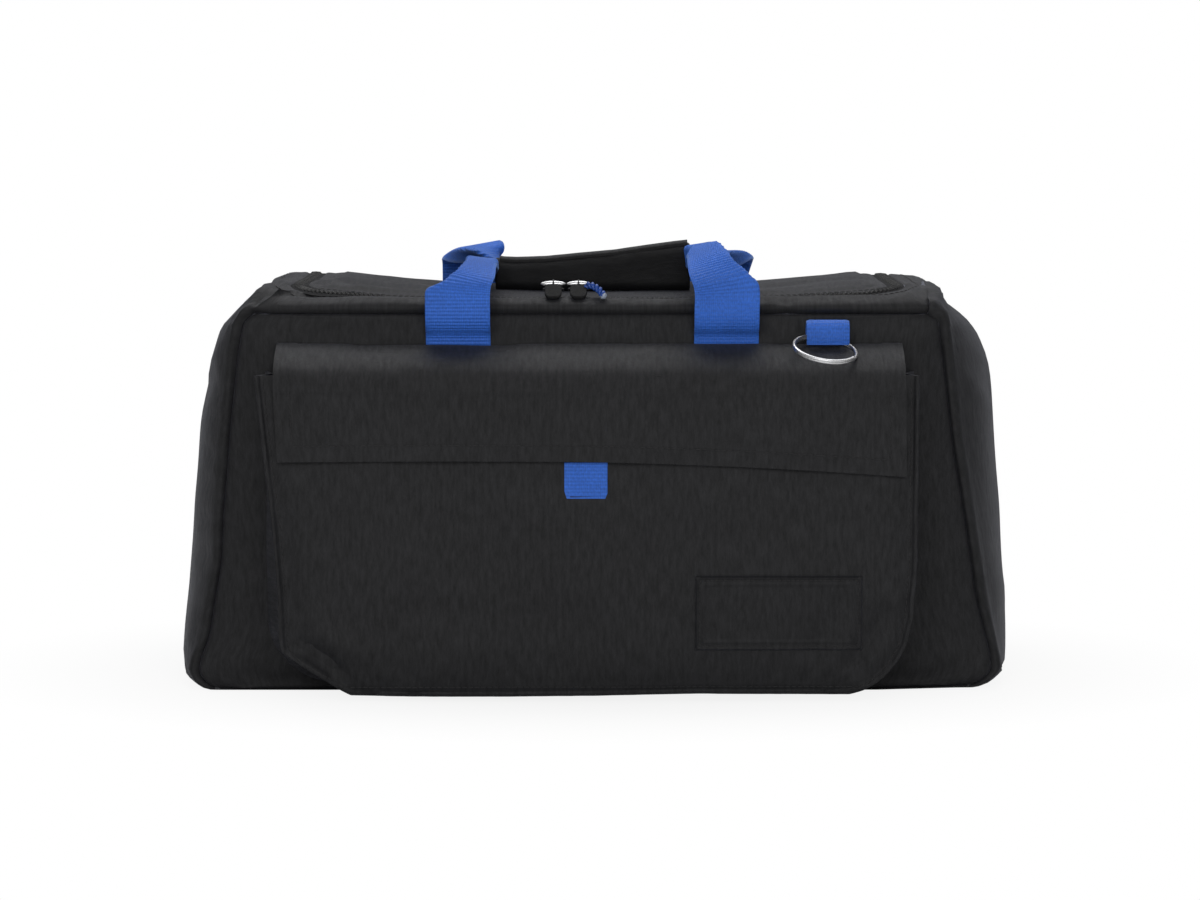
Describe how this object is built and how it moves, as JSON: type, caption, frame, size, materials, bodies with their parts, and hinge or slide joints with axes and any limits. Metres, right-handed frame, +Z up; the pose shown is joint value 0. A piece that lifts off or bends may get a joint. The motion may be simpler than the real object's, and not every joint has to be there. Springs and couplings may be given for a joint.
{
  "type": "padded gear bag",
  "caption": "Padded soft-sided gear bag with a hinged zipped lid, webbing hand straps joined by a wrap, and a flapped bellows front pocket.",
  "frame": {"origin": "on the floor plane, under the middle of the part's box", "axes": "+X to the bag's right as seen from the pocket side (its longest way), +Y to the rear, away from the pocket, +Z up"},
  "size_m": [0.512, 0.2734, 0.2662],
  "materials": {
    "black_nylon": "woven nylon",
    "lining_cloth": "brushed knit",
    "padding": "closed-cell foam",
    "stiffener": "matte sheet",
    "blue_webbing": "ribbed webbing",
    "zip_teeth": "nylon coil",
    "black_metal": "satin",
    "bright_metal": "polished nickel"
  },
  "bodies": {
    "body": {"base_skin": "black_nylon", "base_board": "stiffener", "base_foam": "padding", "left_end_skin": "black_nylon", "left_end_foam": "padding", "right_end_skin": "black_nylon", "right_end_foam": "padding", "front_panel_skin": "black_nylon", "front_panel_foam": "padding", "rear_panel_skin": "black_nylon", "rear_panel_foam": "padding", "lining": "lining_cloth", "top_rim_skin": "black_nylon", "top_rim_foam": "padding", "zip_tape_body": "black_nylon", "zip_chain_body": "zip_teeth", "front_strap_left": "blue_webbing", "front_strap_right": "blue_webbing", "rear_strap_left": "blue_webbing", "rear_strap_right": "blue_webbing", "pocket_face": "black_nylon", "pocket_gusset": "black_nylon", "pocket_hem": "black_nylon", "pocket_loop_strip": "lining_cloth", "patch": "black_nylon", "flap_top": "black_nylon", "key_loop": "blue_webbing"},
    "lid": {"lid_skin": "black_nylon", "lid_foam": "padding", "lid_lining": "lining_cloth", "zip_tape_lid_left": "black_nylon", "zip_tape_lid_right": "black_nylon", "zip_chain_lid_left": "zip_teeth", "zip_chain_lid_right": "zip_teeth"},
    "front_loop": {"front_handle": "blue_webbing", "hand_wrap": "black_nylon"},
    "rear_loop": {"rear_handle": "blue_webbing"},
    "closure": {"wrap_closure": "black_nylon"},
    "pocket_flap": {"flap": "black_nylon", "flap_hook_strip": "lining_cloth", "flap_tab": "blue_webbing"},
    "slider_left": {"left_slider": "bright_metal"},
    "puller_left": {"left_puller": "black_metal"},
    "slider_right": {"right_slider": "bright_metal"},
    "puller_right": {"right_puller": "black_metal", "puller_cord": "blue_webbing"},
    "ring": {"split_ring": "bright_metal"}
  },
  "joints": [
    {"name": "lid_open", "type": "hinge", "parent": "body", "child": "lid", "pos_m": [0, 0.11117, 0.2341], "axis": [-1, 0, 0], "range_deg": [0, 98]},
    {"name": "front_loop_fold", "type": "hinge", "parent": "body", "child": "front_loop", "pos_m": [0, -0.09848, 0.2435], "axis": [1, 0, 0], "range_deg": [0, 222]},
    {"name": "rear_loop_fold", "type": "hinge", "parent": "body", "child": "rear_loop", "pos_m": [0, 0.13683, 0.2435], "axis": [-1, 0, 0], "range_deg": [0, 245]},
    {"name": "closure_open", "type": "hinge", "parent": "front_loop", "child": "closure", "pos_m": [0, -0.00432, 0.25741], "axis": [-0.9965, 0, -0.0837], "range_deg": [-150, 0]},
    {"name": "flap_open", "type": "hinge", "parent": "body", "child": "pocket_flap", "pos_m": [0, -0.12447, 0.19], "axis": [1, 0, 0], "range_deg": [-160, 0]},
    {"name": "left_slider_run", "type": "slide", "parent": "body", "child": "slider_left", "axis": [-1, 0, 0], "range_m": [0, 0.13]},
    {"name": "right_slider_run", "type": "slide", "parent": "body", "child": "slider_right", "axis": [1, 0, 0], "range_m": [0, 0.165]},
    {"name": "left_puller_swing", "type": "hinge", "parent": "slider_left", "child": "puller_left", "pos_m": [-0.0245, -0.06663, 0.24036], "axis": [-1, 0, 0], "range_deg": [0, 150]},
    {"name": "right_puller_swing", "type": "hinge", "parent": "slider_right", "child": "puller_right", "pos_m": [-0.0095, -0.06663, 0.24036], "axis": [-1, 0, 0], "range_deg": [0, 150]},
    {"name": "ring_swing", "type": "hinge", "parent": "body", "child": "ring", "pos_m": [0.137, -0.08963, 0.2107], "axis": [-1, 0, 0], "range_deg": [0, 100]}
  ],
  "couplings": [
    {"joint": "front_loop_fold", "follows": "lid_open", "ratio": 2.26},
    {"joint": "rear_loop_fold", "follows": "lid_open", "ratio": 2.5}
  ]
}
